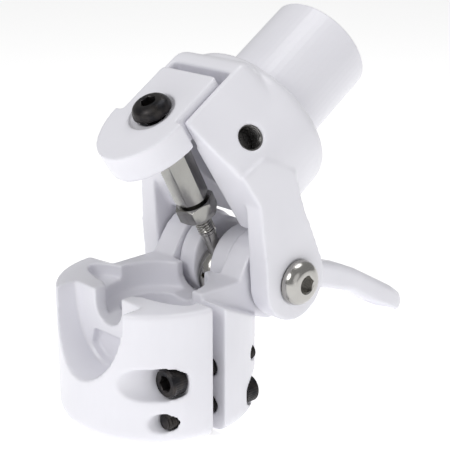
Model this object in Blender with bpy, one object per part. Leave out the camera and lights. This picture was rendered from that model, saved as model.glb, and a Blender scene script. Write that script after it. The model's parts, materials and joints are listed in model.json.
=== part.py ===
"""Folding post joint with a cam lever and a T-shaped latch claw.

Frame: X runs along the hinge axis, Y points to the lever side, Z is up.
The origin is on the clamp bore's axis at the underside of the base.
The head's own parts are drawn closed, then leaned back about the hinge.
"""
import math

import bmesh
import bpy
from mathutils import Matrix, Vector

MM = 0.001
FIT_GAP = 0.35 * MM
OVERCUT = 2.0 * MM
SIDES_LARGE = 56
SIDES_MEDIUM = 28
SIDES_SMALL = 20
SHARP_ANGLE = math.radians(32.0)
ROD_PHASE = 0.37

# Base clamp
BASE_RADIUS = 35.0 * MM
BASE_HEIGHT = 48.0 * MM
BASE_FOOT_ROUND = 5.0 * MM
BASE_TOP_ROUND = 1.4 * MM
POST_BORE_RADIUS = 12.5 * MM
RECESS_RADIUS = 18.0 * MM
RECESS_DEPTH = 10.0 * MM
OVAL_HALF_LENGTH = 27.0 * MM
OVAL_HALF_WIDTH = 8.5 * MM
OVAL_Y = -7.0 * MM
OVAL_DEPTH = 5.0 * MM
OVAL_STEPS = 35
SLIT_WIDTH = 5.0 * MM
SLIT_Y = -2.0 * MM
CHANNEL_HALF_WIDTH = 6.9 * MM
CHANNEL_FLOOR = 36.5 * MM
CHANNEL_END_Y = 26.0 * MM
POCKET_BACK_Y = -21.5 * MM
POCKET_HALF_WIDTH = 17.4 * MM
POCKET_DEPTH = 24.3 * MM
POCKET_CENTRE_Z = 44.9 * MM
UNDERCUT_DEPTH = 3.0 * MM
UNDERCUT_TOP = 33.0 * MM
UNDERCUT_HALF_WIDTH = 8.0 * MM
UNDERCUT_INSET = 2.0 * MM

# Hinge
HINGE_Y = 37.0 * MM
HINGE_Z = 46.0 * MM
FOLD_ANGLE = math.radians(57.0)
LUG_INNER = 12.4 * MM
LUG_OUTER = 22.6 * MM
LUG_FACE_STEP = 0.3 * MM
LUG_RADIUS = 16.4 * MM
LUG_ROOT_TOP = (15.0 * MM, 42.0 * MM)
LUG_ROOT_LOW = (27.0 * MM, 16.0 * MM)
LUG_ROOT_INNER = (9.0 * MM, 16.0 * MM)
LUG_LOW_TURN = math.radians(-144.5)
DISC_ROOM_RADIUS = 17.7 * MM
DISC_ROOM_FOOT = (53.0 * MM, 18.0 * MM)
DISC_ROOM_OPEN = (62.0 * MM, 70.0 * MM)
LEG_INNER = 24.0 * MM
LEG_OUTER = 33.0 * MM
LEG_RADIUS = 14.5 * MM
LEG_ROOM = 0.9 * MM
LEG_RELIEF_FRONT = -3.5 * MM
LEG_ARM = [(-34.5 * MM, 2.5 * MM), (-48.0 * MM, 2.5 * MM), (-47.0 * MM, 14.0 * MM),
           (-33.0 * MM, 22.0 * MM), (-19.0 * MM, 17.5 * MM)]
BOLT_RADIUS = 5.0 * MM
BOLT_NOSE_RADIUS = 4.0 * MM
BOLT_HEAD_RADIUS = 8.75 * MM
BOLT_HEAD_HEIGHT = 5.5 * MM
BOLT_SOCKET_FLATS = 6.0 * MM
NOSE_TAPER = 0.6 * MM
DOME_STEPS = 6
DOME_FLAT = 0.52
DOME_EDGE = 0.15
SOCKET_ROUND = 0.52
SOCKET_FLOOR = 0.35
BUSH_RADIUS = 7.0 * MM
BUSH_FLANGE_RADIUS = 10.5 * MM
BUSH_FLANGE = 0.7 * MM
BUSH_SHY = 0.2 * MM

# Head
MATING_PLANE = 2.4 * MM
TUBE_OFFSET = HINGE_Y
TUBE_AXIS = (0.0, -TUBE_OFFSET, 0.0)
LUG_ROOM = 0.9 * MM
COLLAR_ROUND = 6.0 * MM
COLLAR_RADIUS = 31.0 * MM
COLLAR_TOP = 41.0 * MM
TUBE_RADIUS = 20.0 * MM
TUBE_BORE_RADIUS = 17.0 * MM
TUBE_BOTTOM = 20.0 * MM
TUBE_TOP = 79.0 * MM
TUBE_CHAMFER = 0.6 * MM
CABLE_BORE_RADIUS = 12.5 * MM
BOSS_HALF_WIDTH = 16.0 * MM
BOSS_FRONT = 70.0 * MM
BOSS_TOP = 37.5 * MM
BOSS_ROUND = 7.0 * MM
BOSS_INSET = 0.2 * MM
BOSS_BACK = 5.0 * MM
LEG_TAPER_START = -15.0 * MM
LEG_TAPER_END = -54.0 * MM
SLOT_HALF_WIDTH = 14.1 * MM
SLOT_FLOOR = 58.5 * MM
SLOT_TOP = 28.0 * MM
ROD_CHANNEL_HALF_WIDTH = 13.0 * MM
ROD_CHANNEL_TOP = 13.0 * MM
TAPPED_RADIUS = 4.6 * MM
TAPPED_DEPTH = 10.0 * MM
TAPPED_HEIGHT = 16.0 * MM
TAPPED_ANGLE = math.radians(33.0)

# Lever
DISC_RADIUS = 15.2 * MM
DISC_INNER = 4.0 * MM
DISC_OUTER = 12.05 * MM
LEVER_ANGLE = math.radians(-20.8)
HANDLE_SIDES = 12
HANDLE_STATIONS = [  # distance along, underside, top and half width, in millimetres
    (6, -6.2, 6.0, 5.5), (24, -6.4, 6.0, 5.5), (45, -5.6, 6.0, 5.5), (60, -4.8, 6.2, 5.6),
    (70, -4.6, 5.4, 6.2), (79, -6.6, 3.9, 7.2), (88, -8.2, 2.4, 8.0), (95, -9.4, 1.2, 8.0),
    (101, -9.9, -0.4, 7.2), (105, -8.8, -3.4, 5.6)]
EYE_ROOM = 0.6 * MM
EYE_ROOM_REACH = 24.0 * MM
PIN_CHAMFER = 0.5 * MM
CRANK_OFFSET = 5.0 * MM
CRANK_ANGLE = math.radians(238.0)
CRANK_PIN_RADIUS = 3.0 * MM
CRANK_PIN_HALF = 7.0 * MM
NOSE_END = 7.6 * MM

# Tension link
LINK_LENGTH = 69.3 * MM
LINK_TILT = math.radians(5.5)
EYE_RADIUS = 12.0 * MM
EYE_HALF_WIDTH = 3.55 * MM
EYE_BORE_RADIUS = 8.1 * MM
EYE_CHAMFER = 1.2 * MM
LINER_HALF = 2.9 * MM
LINER_CURVE = 0.55 * MM
BALL_STEPS = 8
BALL_RADIUS = 6.0 * MM
THREAD_RADIUS = 3.2 * MM
NECK_RADIUS = 2.7 * MM
THREAD_SHY = 0.3 * MM
NECK_START = 9.4 * MM
NECK_END = 19.0 * MM
SHANK_END = 48.0 * MM
HEX_CHAMFER = 1.4 * MM
NUT_FLATS = 13.0 * MM
NUT_START = 28.5 * MM
NUT_HEIGHT = 6.5 * MM
COUPLING_FLATS = 11.0 * MM
COUPLING_BORE = 4.0 * MM
COUPLING_START = 36.0 * MM
COUPLING_GAP = 1.3 * MM

# Claw
CLAW_THICKNESS = 11.0 * MM
TONGUE_HALF_WIDTH = 13.6 * MM
TONGUE_TOP = 20.8 * MM
TONGUE_CORNER = 2.0 * MM
SHOULDER = -1.6 * MM
LOBE_HALF_WIDTH = 16.8 * MM
LOBE_DEPTH = 23.5 * MM
CLAW_HOLE_RADIUS = 5.2 * MM
SEAT_RADIUS = 8.6 * MM
SEAT_DEPTH = 1.6 * MM
LATCH_HEAD_RADIUS = 7.0 * MM
LATCH_HEAD_HEIGHT = 4.4 * MM
LATCH_SOCKET_FLATS = 5.0 * MM
ROCK_ROOM = 1.2 * MM

# Clamp screws
SCREW_X = 27.0 * MM
UPPER_SCREW_Z = 23.0 * MM
LOWER_SCREW_Z = 9.0 * MM
SCREW_RADIUS = 3.0 * MM
SCREW_HEAD_RADIUS = 5.0 * MM
SCREW_HEAD_HEIGHT = 6.0 * MM
SCREW_HEAD_Y = 20.0 * MM
SCREW_END_Y = 20.5 * MM
SCREW_HEAD_ROOM = 0.8 * MM
SCREW_CHAMFER = 0.6 * MM
SCREW_SOCKET_RADIUS = 2.6 * MM
SCREW_SOCKET_DEPTH = 3.0 * MM
KEY_ROOM = 0.6 * MM
SCOOP_START_Y = 16.0 * MM
SCOOP_LEAN = math.radians(20.0)
CLAMP_SCREWS = ((-1, UPPER_SCREW_Z, "upper"), (1, LOWER_SCREW_Z, "lower"))

PAINT = (0.79, 0.78, 0.84, 1.0)
STEEL = (0.62, 0.62, 0.6, 1.0)
BLACK_OXIDE = (0.025, 0.025, 0.03, 1.0)
BRONZE = (0.45, 0.33, 0.16, 1.0)
POLYMER = (0.12, 0.12, 0.13, 1.0)


def clear_scene():
    for obj in list(bpy.data.objects):
        bpy.data.objects.remove(obj, do_unlink=True)


def material(name, colour, roughness, metallic):
    mat = bpy.data.materials.new(name)
    mat.use_nodes = True
    shader = mat.node_tree.nodes["Principled BSDF"]
    shader.inputs["Base Color"].default_value = colour
    shader.inputs["Roughness"].default_value = roughness
    shader.inputs["Metallic"].default_value = metallic
    return mat


def new_object(name, bm, parent=None, mat=None):
    bmesh.ops.recalc_face_normals(bm, faces=bm.faces)
    mesh = bpy.data.meshes.new(name)
    bm.to_mesh(mesh)
    bm.free()
    mesh.shade_smooth()
    mesh.set_sharp_from_angle(angle=SHARP_ANGLE)
    obj = bpy.data.objects.new(name, mesh)
    bpy.context.scene.collection.objects.link(obj)
    obj.parent = parent
    if mat:
        mesh.materials.append(mat)
    return obj


def empty(name, location, angle=0.0, parent=None):
    obj = bpy.data.objects.new(name, None)
    bpy.context.scene.collection.objects.link(obj)
    obj.parent = parent
    obj.location = location
    obj.rotation_euler = (angle, 0.0, 0.0)
    return obj


AXES = {
    "X": (Vector((0, 1, 0)), Vector((0, 0, 1)), Vector((1, 0, 0))),
    "Y": (Vector((0, 0, 1)), Vector((1, 0, 0)), Vector((0, 1, 0))),
    "Z": (Vector((1, 0, 0)), Vector((0, 1, 0)), Vector((0, 0, 1))),
}


def turned(profile, centre, axis, sides, phase=0.0):
    """Revolve a closed (radius, height) profile about an axis through a centre."""
    side_a, side_b, along = AXES[axis]
    bm = bmesh.new()
    rings = []
    for radius, height in profile:
        base = Vector(centre) + along * height
        if radius <= 0.0:
            rings.append([bm.verts.new(base)])
            continue
        ring = []
        for step in range(sides):
            turn = 2.0 * math.pi * (step + phase) / sides
            spoke = side_a * math.cos(turn) + side_b * math.sin(turn)
            ring.append(bm.verts.new(base + spoke * radius))
        rings.append(ring)
    hollow = all(radius > 0.0 for radius, _ in profile)
    pairs = list(zip(rings, rings[1:]))
    if hollow:
        pairs.append((rings[-1], rings[0]))
    for lower, upper in pairs:
        for step in range(sides):
            nxt = (step + 1) % sides
            corners = [lower[step % len(lower)], lower[nxt % len(lower)],
                       upper[nxt % len(upper)], upper[step % len(upper)]]
            unique = list(dict.fromkeys(corners))
            if len(unique) > 2:
                bm.faces.new(unique)
    return bm


def rod(radius, start, end, centre=(0.0, 0.0, 0.0), axis="X", sides=SIDES_MEDIUM):
    """A plain cylinder, turned a little so that its corners miss its neighbours' corners."""
    profile = [(0.0, start), (radius, start), (radius, end), (0.0, end)]
    return turned(profile, centre, axis, sides, ROD_PHASE)


def prism(outline, start, end, axis="X", centre=(0.0, 0.0, 0.0)):
    """Extrude an outline, drawn in the plane across the axis, between two heights."""
    side_a, side_b, along = AXES[axis]
    bm = bmesh.new()
    layers = []
    for height in (start, end):
        layer = []
        for a, b in outline:
            layer.append(bm.verts.new(Vector(centre) + side_a * a + side_b * b + along * height))
        layers.append(layer)
    bm.faces.new(layers[0])
    bm.faces.new(layers[1])
    count = len(outline)
    for index in range(count):
        nxt = (index + 1) % count
        bm.faces.new((layers[0][index], layers[0][nxt], layers[1][nxt], layers[1][index]))
    return bm


def block(low, high):
    return prism([(low[1], low[2]), (high[1], low[2]), (high[1], high[2]), (low[1], high[2])],
                 low[0], high[0])


def arc(centre, radius, start, end, steps, stretch=1.0):
    """Points on an arc; stretch scales its second coordinate."""
    points = []
    for step in range(steps + 1):
        turn = start + (end - start) * step / steps
        points.append((centre[0] + radius * math.cos(turn),
                       centre[1] + radius * stretch * math.sin(turn)))
    return points


def hex_outline(flats, turn=0.0):
    reach = flats / math.sqrt(3.0)
    return [(reach * math.cos(turn + math.pi * k / 3.0),
             reach * math.sin(turn + math.pi * k / 3.0)) for k in range(6)]


def combine(target, tool, operation):
    """Join or cut with another solid, which stays in the file as a hidden guide."""
    tool.hide_render = True
    tool.display_type = "WIRE"
    mod = target.modifiers.new(operation.lower(), "BOOLEAN")
    mod.operation = operation
    mod.solver = "EXACT"
    mod.object = tool


def cut(target, bm, name):
    combine(target, new_object("cut_" + name, bm, target.parent), "DIFFERENCE")


def join(target, bm, name):
    combine(target, new_object("add_" + name, bm, target.parent), "UNION")


def tangent_points(point, centre, radius):
    """The two points where lines from an outside point touch a circle."""
    dx = centre[0] - point[0]
    dy = centre[1] - point[1]
    reach = math.hypot(dx, dy)
    spread = math.acos(radius / reach)
    heading = math.atan2(-dy, -dx)
    return [(centre[0] + radius * math.cos(heading + side * spread),
             centre[1] + radius * math.sin(heading + side * spread)) for side in (1, -1)]


def lug_outline():
    """Side view of a hinge lug: an eye with flanks that run into the base."""
    hinge = (HINGE_Y, HINGE_Z)
    top_turn = max(math.atan2(y - HINGE_Z, x - HINGE_Y)
                   for x, y in tangent_points(LUG_ROOT_TOP, hinge, LUG_RADIUS))
    eye = arc(hinge, LUG_RADIUS, top_turn, LUG_LOW_TURN, 20)
    return [LUG_ROOT_INNER, LUG_ROOT_TOP] + eye + [LUG_ROOT_LOW]


def base_body(mat):
    foot = arc((BASE_RADIUS - BASE_FOOT_ROUND, BASE_FOOT_ROUND), BASE_FOOT_ROUND,
               -math.pi / 2, 0.0, 4)
    rim = arc((BASE_RADIUS - BASE_TOP_ROUND, BASE_HEIGHT - BASE_TOP_ROUND), BASE_TOP_ROUND,
              0.0, math.pi / 2, 3)
    profile = [(0.0, 0.0)] + foot + rim + [(0.0, BASE_HEIGHT)]
    return new_object("base_clamp", turned(profile, (0, 0, 0), "Z", SIDES_LARGE), None, mat)


def add_lugs(base):
    """Two hinge lugs, the room beside them for the fork, and the discs' room between them."""
    for side, name in ((1, "near"), (-1, "far")):
        ends = sorted((side * LUG_INNER, side * LUG_OUTER))
        join(base, prism(lug_outline(), ends[0], ends[1]), "lug_" + name)
        outer = sorted((side * (LUG_OUTER + LUG_FACE_STEP), side * (BASE_RADIUS + OVERCUT)))
        cut(base, prism(leg_relief_outline(), outer[0], outer[1]), "leg_relief_" + name)
        reach = sorted((side * (DISC_INNER + 2 * OVERCUT), side * (LUG_OUTER + OVERCUT)))
        cut(base, rod(BOLT_RADIUS + FIT_GAP, reach[0], reach[1], (0, HINGE_Y, HINGE_Z)),
            "bolt_bore_" + name)
    room = arc((HINGE_Y, HINGE_Z), DISC_ROOM_RADIUS, math.radians(95), math.radians(300), 24)
    cut(base, prism(room + [DISC_ROOM_FOOT, DISC_ROOM_OPEN], -LUG_INNER, LUG_INNER), "disc_room")


def cut_post_way(base):
    """Post bore with a wider recess above it, and the oval that opens towards the slit."""
    floor = BASE_HEIGHT - RECESS_DEPTH
    top = BASE_HEIGHT + 4 * OVERCUT
    way = [(0.0, -OVERCUT), (POST_BORE_RADIUS, -OVERCUT), (POST_BORE_RADIUS, floor),
           (RECESS_RADIUS, floor), (RECESS_RADIUS, top), (0.0, top)]
    cut(base, turned(way, (0, 0, 0), "Z", SIDES_LARGE, ROD_PHASE), "bore_and_recess")
    last = 2 * math.pi * OVAL_STEPS / (OVAL_STEPS + 1)
    oval = arc((0.0, OVAL_Y), OVAL_HALF_LENGTH, 0.0, last, OVAL_STEPS,
               OVAL_HALF_WIDTH / OVAL_HALF_LENGTH)
    cut(base, prism(oval, BASE_HEIGHT - OVAL_DEPTH, BASE_HEIGHT + OVERCUT, "Z"), "oval")
    low = (0.0, SLIT_Y - SLIT_WIDTH / 2, -OVERCUT)
    high = (BASE_RADIUS + OVERCUT, SLIT_Y + SLIT_WIDTH / 2, BASE_HEIGHT + 2 * OVERCUT)
    cut(base, block(low, high), "slit")


def make_base(mat):
    base = base_body(mat)
    add_lugs(base)
    cut_post_way(base)
    cut(base, channel_cutter(), "rod_channel")
    cut_claw_pocket(base)
    cut_screw_seats(base)


def leg_relief_outline():
    """Closed position of a fork leg's underside, with running room."""
    reach = LEG_RADIUS + LEG_ROOM
    eye = arc((HINGE_Y, HINGE_Z), reach, 0.0, math.radians(-116), 14)
    above = BASE_HEIGHT + 10 * OVERCUT
    front = (LEG_RELIEF_FRONT, BASE_HEIGHT + FIT_GAP)
    return eye + [front, (LEG_RELIEF_FRONT, above), (HINGE_Y + reach, above)]


def channel_cutter():
    """U-shaped way for the tension rod, from the claw pocket to the lug gap."""
    floor = arc((CHANNEL_FLOOR + CHANNEL_HALF_WIDTH, 0.0), CHANNEL_HALF_WIDTH,
                math.pi / 2, 3 * math.pi / 2, 13)
    above = BASE_HEIGHT + 6 * OVERCUT
    outline = floor + [(above, -CHANNEL_HALF_WIDTH), (above, CHANNEL_HALF_WIDTH)]
    return prism(outline, -BASE_RADIUS - OVERCUT, CHANNEL_END_Y, "Y")


def pocket_outline(half_width, depth, centre_z):
    lower = arc((0.0, centre_z), half_width, math.pi, 2 * math.pi, 25, depth / half_width)
    above = BASE_HEIGHT + 4 * OVERCUT
    return [(z, x) for x, z in lower] + [(above, half_width), (above, -half_width)]


def cut_claw_pocket(base):
    cut(base, prism(pocket_outline(POCKET_HALF_WIDTH, POCKET_DEPTH, POCKET_CENTRE_Z),
                    -BASE_RADIUS - 2 * OVERCUT, POCKET_BACK_Y, "Y"), "claw_pocket")
    half_width = POCKET_HALF_WIDTH - UNDERCUT_INSET
    depth = POCKET_DEPTH - UNDERCUT_INSET / 2
    scoop = arc((0.0, POCKET_CENTRE_Z), half_width, math.radians(230), math.radians(310), 13,
                depth / half_width)
    outline = [(z, x) for x, z in scoop]
    outline += [(UNDERCUT_TOP, UNDERCUT_HALF_WIDTH), (UNDERCUT_TOP, -UNDERCUT_HALF_WIDTH)]
    cut(base, prism(outline, POCKET_BACK_Y - OVERCUT, POCKET_BACK_Y + UNDERCUT_DEPTH, "Y"),
        "pocket_undercut")


def cut_screw_seats(base):
    """Two clamp screws cross the slit from opposite sides."""
    for side, height, name in CLAMP_SCREWS:
        centre = (SCREW_X, 0.0, height)
        cut(base, rod(SCREW_RADIUS + FIT_GAP, -BASE_RADIUS, BASE_RADIUS, centre, "Y",
                      SIDES_SMALL), name + "_screw_bore")
        seat = sorted((side * (SCREW_HEAD_Y - SCREW_HEAD_HEIGHT - FIT_GAP),
                       side * (BASE_RADIUS + OVERCUT)))
        cut(base, rod(SCREW_HEAD_RADIUS + SCREW_HEAD_ROOM, seat[0], seat[1], centre, "Y"),
            name + "_screw_seat")
        scoop = rod(SCREW_HEAD_RADIUS + KEY_ROOM, 0.0, side * BASE_RADIUS, (0, 0, 0), "Y")
        lean = Matrix.Rotation(side * SCOOP_LEAN, 4, "Z")
        place = Matrix.Translation((SCREW_X, side * SCOOP_START_Y, height))
        bmesh.ops.transform(scoop, matrix=place @ lean, verts=scoop.verts)
        cut(base, scoop, name + "_key_scoop")


def button_bolt(head_radius, head_height, shank, hex_flats, seat):
    """Half profile of a button-head bolt; the shank is a list of (radius, x)."""
    dome = []
    for step in range(DOME_STEPS + 1):
        turn = math.pi / 2 * step / DOME_STEPS
        dome.append((head_radius * (DOME_FLAT + (1 - DOME_FLAT) * math.cos(turn)),
                     seat + head_height * (DOME_EDGE + (1 - DOME_EDGE) * math.sin(turn))))
    socket = hex_flats * SOCKET_ROUND
    floor = seat + head_height * SOCKET_FLOOR
    return shank + [(head_radius, seat)] + dome + [(socket, seat + head_height), (socket, floor),
                                                   (0.0, floor)]


def make_pivot_bolts(mat):
    seat = LEG_OUTER + FIT_GAP
    shank = [(0.0, NOSE_END), (BOLT_NOSE_RADIUS, NOSE_END),
             (BOLT_NOSE_RADIUS, LUG_INNER + NOSE_TAPER), (BOLT_RADIUS, LUG_INNER + 2 * NOSE_TAPER),
             (BOLT_RADIUS, seat)]
    profile = button_bolt(BOLT_HEAD_RADIUS, BOLT_HEAD_HEIGHT, shank, BOLT_SOCKET_FLATS, seat)
    for side, name in ((1, "near"), (-1, "far")):
        mirrored = [(radius, side * height) for radius, height in profile]
        new_object("pivot_bolt_" + name,
                   turned(mirrored, (0, HINGE_Y, HINGE_Z), "X", SIDES_MEDIUM), None, mat)


def make_clamp_screws(mat):
    under = SCREW_HEAD_Y - SCREW_HEAD_HEIGHT
    socket_floor = SCREW_HEAD_Y - SCREW_SOCKET_DEPTH
    profile = [(0.0, -SCREW_END_Y), (SCREW_RADIUS - SCREW_CHAMFER, -SCREW_END_Y),
               (SCREW_RADIUS, -SCREW_END_Y + SCREW_CHAMFER), (SCREW_RADIUS, under),
               (SCREW_HEAD_RADIUS, under), (SCREW_HEAD_RADIUS, SCREW_HEAD_Y - SCREW_CHAMFER),
               (SCREW_HEAD_RADIUS - SCREW_CHAMFER, SCREW_HEAD_Y),
               (SCREW_SOCKET_RADIUS, SCREW_HEAD_Y), (SCREW_SOCKET_RADIUS, socket_floor),
               (0.0, socket_floor)]
    for side, height, name in CLAMP_SCREWS:
        mirrored = [(radius, side * y) for radius, y in profile]
        new_object("clamp_screw_" + name,
                   turned(mirrored, (SCREW_X, 0.0, height), "Y", SIDES_SMALL), None, mat)


def leg_mesh(side):
    """Fork leg: an eye at the hinge, with an arm that runs into the collar's flank."""
    eye = arc((0.0, 0.0), LEG_RADIUS, math.radians(84), math.radians(-112), 18)
    ends = sorted((side * LEG_INNER, side * LEG_OUTER))
    return prism(eye + LEG_ARM, ends[0], ends[1])


def leg_flank_cutter(side):
    """Wedge that narrows a leg until it meets the collar's flank."""
    far = LEG_OUTER + 3 * OVERCUT
    outline = [(side * LEG_OUTER, LEG_TAPER_START), (side * (COLLAR_RADIUS - 1 * MM), LEG_TAPER_END),
               (side * far, LEG_TAPER_END), (side * far, LEG_TAPER_START)]
    return prism(outline, -3 * OVERCUT, 15 * OVERCUT, "Z")


def boss_mesh():
    """Nose of the head: flat front, flanks tangent to the collar, rounded upper edge."""
    reach = math.hypot(BOSS_HALF_WIDTH, BOSS_FRONT - TUBE_OFFSET)
    heading = math.atan2(BOSS_FRONT - TUBE_OFFSET, BOSS_HALF_WIDTH)
    touch = heading - math.acos(COLLAR_RADIUS / reach)
    blend_radius = COLLAR_RADIUS - BOSS_INSET
    side_x = blend_radius * math.cos(touch)
    side_y = -TUBE_OFFSET - blend_radius * math.sin(touch)
    back_y = -TUBE_OFFSET + BOSS_BACK
    outline = [(-BOSS_HALF_WIDTH, -BOSS_FRONT), (BOSS_HALF_WIDTH, -BOSS_FRONT),
               (side_x, side_y), (side_x / 2, back_y), (-side_x / 2, back_y), (-side_x, side_y)]
    bm = prism(outline, MATING_PLANE, BOSS_TOP, "Z")
    upper = [edge for edge in bm.edges
             if all(vert.co.z > BOSS_TOP - 1 * MM for vert in edge.verts)
             and sum(vert.co.y for vert in edge.verts) < 2 * side_y + 1 * MM]
    bmesh.ops.bevel(bm, geom=upper, offset=BOSS_ROUND, segments=5, profile=0.5, affect="EDGES")
    return bm


def head_body(axis, mat):
    """Collar, nose and fork legs in one casting."""
    shoulder = arc((COLLAR_RADIUS - COLLAR_ROUND, COLLAR_TOP - COLLAR_ROUND), COLLAR_ROUND,
                   0.0, math.pi / 2, 5)
    profile = [(0.0, MATING_PLANE), (COLLAR_RADIUS - 1 * MM, MATING_PLANE),
               (COLLAR_RADIUS, MATING_PLANE + 1 * MM)] + shoulder + [(0.0, COLLAR_TOP)]
    head = new_object("fold_head", turned(profile, TUBE_AXIS, "Z", SIDES_LARGE), axis, mat)
    join(head, boss_mesh(), "boss")
    for side, name in ((1, "near"), (-1, "far")):
        join(head, leg_mesh(side), "leg_" + name)
        cut(head, leg_flank_cutter(side), "flank_" + name)
    return head


def lug_room_outline():
    """Round room about the lugs' eyes, with a sloped roof over the flanks that rise to them."""
    reach = LUG_RADIUS + LUG_ROOM
    root = (LUG_ROOT_TOP[0] - HINGE_Y - OVERCUT, LUG_ROOT_TOP[1] - HINGE_Z)
    top_turn = max(math.atan2(z, y) % math.tau for y, z in tangent_points(root, (0.0, 0.0), reach)
                   if z > 0.0)
    low = (root[0], -2 * OVERCUT)
    return [low, root] + arc((0.0, 0.0), reach, top_turn, -math.radians(170), 44)


def cut_latch_room(head):
    """Room for the base's lugs, the tension rod and the claw's tongue."""
    cut(head, prism(lug_room_outline(), -LEG_INNER, LEG_INNER), "lug_room")
    low = block((-ROD_CHANNEL_HALF_WIDTH, -SLOT_FLOOR - 1 * MM, -OVERCUT),
                (ROD_CHANNEL_HALF_WIDTH, 3 * OVERCUT, ROD_CHANNEL_TOP))
    cut(head, low, "rod_room")
    cut(head, block((-SLOT_HALF_WIDTH, -BOSS_FRONT - OVERCUT, -OVERCUT),
                    (SLOT_HALF_WIDTH, -SLOT_FLOOR, SLOT_TOP)), "tongue_slot")


def cut_head_bores(head):
    """Stepped way for tube and cable, bush bores, and a small tapped hole in the collar."""
    socket = TUBE_RADIUS + FIT_GAP
    seat = TUBE_BOTTOM - FIT_GAP
    top = COLLAR_TOP + OVERCUT
    way = [(0.0, -OVERCUT), (CABLE_BORE_RADIUS, -OVERCUT), (CABLE_BORE_RADIUS, seat),
           (socket, seat), (socket, top), (0.0, top)]
    cut(head, turned(way, TUBE_AXIS, "Z", SIDES_LARGE, ROD_PHASE), "tube_socket")
    bores = LEG_OUTER + OVERCUT
    cut(head, rod(BUSH_RADIUS + FIT_GAP, -bores, bores), "bush_bores")
    tapped = rod(TAPPED_RADIUS, COLLAR_RADIUS - TAPPED_DEPTH, COLLAR_RADIUS + 2 * OVERCUT,
                 (0, 0, 0), "X", SIDES_SMALL)
    lean = Matrix.Rotation(-TAPPED_ANGLE, 4, "Z")
    place = Matrix.Translation((0.0, -TUBE_OFFSET, TAPPED_HEIGHT))
    bmesh.ops.transform(tapped, matrix=place @ lean, verts=tapped.verts)
    cut(head, tapped, "tapped_hole")


def make_head(axis, mat):
    head = head_body(axis, mat)
    cut_latch_room(head)
    cut_head_bores(head)


def make_stem_tube(axis, mat):
    profile = [(TUBE_BORE_RADIUS, TUBE_BOTTOM), (TUBE_RADIUS, TUBE_BOTTOM),
               (TUBE_RADIUS, TUBE_TOP - TUBE_CHAMFER), (TUBE_RADIUS - TUBE_CHAMFER, TUBE_TOP),
               (TUBE_BORE_RADIUS, TUBE_TOP)]
    new_object("stem_tube", turned(profile, TUBE_AXIS, "Z", SIDES_LARGE), axis, mat)


def make_pivot_bushes(axis, mat):
    inner = BOLT_RADIUS + FIT_GAP
    start = LUG_OUTER + FIT_GAP
    profile = [(inner, start), (BUSH_FLANGE_RADIUS, start),
               (BUSH_FLANGE_RADIUS, start + BUSH_FLANGE), (BUSH_RADIUS, start + BUSH_FLANGE),
               (BUSH_RADIUS, LEG_OUTER - BUSH_SHY), (inner, LEG_OUTER - BUSH_SHY)]
    for side, name in ((1, "near"), (-1, "far")):
        mirrored = [(radius, side * height) for radius, height in profile]
        new_object("pivot_bush_" + name, turned(mirrored, (0, 0, 0), "X", SIDES_MEDIUM), axis, mat)


def squircle(half_width, low, high, y):
    """Rounded-square section of the handle at one distance along it."""
    points = []
    for step in range(HANDLE_SIDES):
        turn = 2 * math.pi * (step + 0.5) / HANDLE_SIDES
        across = math.copysign(math.sqrt(abs(math.cos(turn))), math.cos(turn))
        upward = math.copysign(math.sqrt(abs(math.sin(turn))), math.sin(turn))
        points.append((half_width * across, y, (low + high + (high - low) * upward) / 2))
    return points


def handle_mesh():
    """Curved thumb lever, drawn along its own Y: straight shank, then a wider drooping pad."""
    bm = bmesh.new()
    rings = []
    for y, low, high, half_width in HANDLE_STATIONS:
        section = squircle(half_width * MM, low * MM, high * MM, y * MM)
        rings.append([bm.verts.new(point) for point in section])
    for lower, upper in zip(rings, rings[1:]):
        for step in range(HANDLE_SIDES):
            nxt = (step + 1) % HANDLE_SIDES
            bm.faces.new((lower[step], lower[nxt], upper[nxt], upper[step]))
    bm.faces.new(rings[0])
    bm.faces.new(rings[-1])
    return bm


def make_lever(axis, crank, mat):
    discs = rod(DISC_RADIUS, -DISC_OUTER, DISC_OUTER, sides=SIDES_LARGE)
    lever = new_object("cam_lever", discs, axis, mat)
    join(lever, handle_mesh(), "handle")
    cut(lever, eye_room(crank), "eye_room")
    for side, name in ((1, "near"), (-1, "far")):
        reach = sorted((side * (NOSE_END - FIT_GAP), side * (DISC_OUTER + OVERCUT)))
        cut(lever, rod(BOLT_NOSE_RADIUS + FIT_GAP, reach[0], reach[1]), "nose_bore_" + name)
    cut(lever, rod(CRANK_PIN_RADIUS + FIT_GAP, -CRANK_PIN_HALF - FIT_GAP, DISC_OUTER + OVERCUT,
                   (0.0, crank[0], crank[1]), "X", SIDES_SMALL), "pin_bore")


def eye_room(crank):
    """Gap between the discs, open to the claw's side, that the rod-end eye swings in."""
    round_end = arc(crank, EYE_RADIUS + EYE_ROOM, math.radians(-60), math.radians(60), 18)
    far = EYE_ROOM_REACH
    outline = round_end + [(round_end[-1][0], far), (-far, far), (-far, -far), (crank[0], -far)]
    return prism(outline, -DISC_INNER, DISC_INNER)


def make_crank_pin(axis, mat):
    end_radius = CRANK_PIN_RADIUS - PIN_CHAMFER
    profile = [(0.0, -CRANK_PIN_HALF), (end_radius, -CRANK_PIN_HALF),
               (CRANK_PIN_RADIUS, -CRANK_PIN_HALF + PIN_CHAMFER),
               (CRANK_PIN_RADIUS, CRANK_PIN_HALF - PIN_CHAMFER),
               (end_radius, CRANK_PIN_HALF), (0.0, CRANK_PIN_HALF)]
    new_object("crank_pin", turned(profile, (0, 0, 0), "X", SIDES_SMALL), axis, mat)


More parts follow.
